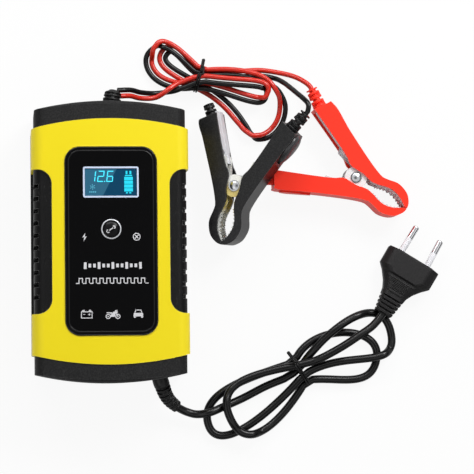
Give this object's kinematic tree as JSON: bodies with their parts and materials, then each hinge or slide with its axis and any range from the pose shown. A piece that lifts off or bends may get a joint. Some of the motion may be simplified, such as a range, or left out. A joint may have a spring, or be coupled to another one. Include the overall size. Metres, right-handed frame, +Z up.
{
  "type": "car battery charger",
  "caption": "Compact mains car battery charger with display, push button, tied two-pin mains lead and tied twin DC lead with spring clamps.",
  "frame": {"origin": "centre of the case's footprint on the surface it lies on", "axes": "+Z up out of the face, +Y along the case towards the DC lead, +X towards the clamps"},
  "size_m": [0.257, 0.2492, 0.0526],
  "materials": {
    "yellow_plastic": "satin",
    "charcoal_plastic": "fine grain",
    "black_plastic": "satin",
    "panel_gloss": "polished",
    "frame_pale": "satin",
    "display_glass": "glass-like, backlit",
    "light_guide": "translucent",
    "ring_silver": "satin",
    "button_black": "polished",
    "circuit_board": "solder mask",
    "component_metal": "plain",
    "ferrite": "sintered",
    "copper_winding": "enamelled",
    "capacitor_sleeve": "shrink sleeve",
    "heat_sink_aluminium": "extruded",
    "component_black": "moulded",
    "fuse_glass": "clear with metal caps",
    "ribbon_grey": "flexible",
    "wire_brown": "flexible",
    "wire_red": "flexible",
    "relief_black": "flexible",
    "cord_black": "flexible",
    "cord_red": "flexible",
    "tie_black": "plain",
    "plug_black": "moulded",
    "pin_metal": "plated",
    "sleeve_white": "moulded",
    "clamp_red": "satin",
    "clamp_black": "satin",
    "jaw_steel": "plated sheet",
    "spring_steel": "wire"
  },
  "bodies": {
    "charger": {"front_cover": "yellow_plastic", "rear_cover": "charcoal_plastic", "top_cap": "charcoal_plastic", "bottom_cap": "charcoal_plastic", "left_grille": "black_plastic", "right_grille": "black_plastic", "face_panel": "panel_gloss", "lcd_frame": "frame_pale", "lcd_cell": "display_glass", "lcd_backlight": "light_guide", "button_ring": "ring_silver", "display_board": "circuit_board", "tact_switch": "component_metal", "main_board": "circuit_board", "transformer_core": "ferrite", "transformer_winding": "copper_winding", "mains_capacitor": "capacitor_sleeve", "output_capacitors": "capacitor_sleeve", "heat_sink": "heat_sink_aluminium", "power_transistors": "component_black", "fuse": "fuse_glass", "ribbon_cable": "ribbon_grey", "mains_wires": "wire_brown", "dc_wires": "wire_red", "case_screws": "component_metal", "mains_strain_relief": "relief_black", "dc_strain_relief": "relief_black", "mains_run": "cord_black", "mains_hank": "cord_black", "mains_plug_run": "cord_black", "mains_tie": "tie_black", "plug_body": "plug_black", "plug_pins": "pin_metal", "pin_sleeves": "sleeve_white", "dc_run_red": "cord_red", "dc_run_black": "cord_black", "dc_hank_red": "cord_red", "dc_hank_black": "cord_black", "dc_tie": "tie_black", "red_lead": "cord_red", "black_lead": "cord_black", "red_cord_grip": "clamp_red", "red_cord_jaw": "jaw_steel", "red_rivet": "jaw_steel", "red_spring": "spring_steel", "red_relief": "clamp_red", "black_cord_grip": "clamp_black", "black_cord_jaw": "jaw_steel", "black_rivet": "jaw_steel", "black_spring": "spring_steel", "black_relief": "clamp_black"},
    "repair_button": {"repair_button": "button_black"},
    "red_free_half": {"red_free_grip": "clamp_red", "red_free_jaw": "jaw_steel", "red_stub": "clamp_red"},
    "black_free_half": {"black_free_grip": "clamp_black", "black_free_jaw": "jaw_steel", "black_stub": "clamp_black"}
  },
  "joints": [
    {"name": "repair_button_press", "type": "slide", "parent": "charger", "child": "repair_button", "axis": [0, 0, -1], "range_m": [0, 0.0008], "stiffness_N_per_m": 1500, "springref_m": -0.0004},
    {"name": "red_clamp_hinge", "type": "hinge", "parent": "charger", "child": "red_free_half", "pos_m": [0.154, 0.041, 0.0085], "axis": [0, 0, -1], "range_deg": [0, 40], "stiffness_Nm_per_rad": 0.25, "springref_deg": -28.65, "deforming": ["red_spring"]},
    {"name": "black_clamp_hinge", "type": "hinge", "parent": "charger", "child": "black_free_half", "pos_m": [0.0795, 0.0355, 0.0172], "axis": [0.3889, 0.0279, -0.9209], "range_deg": [0, 40], "stiffness_Nm_per_rad": 0.25, "springref_deg": -28.65, "deforming": ["black_spring"]}
  ]
}
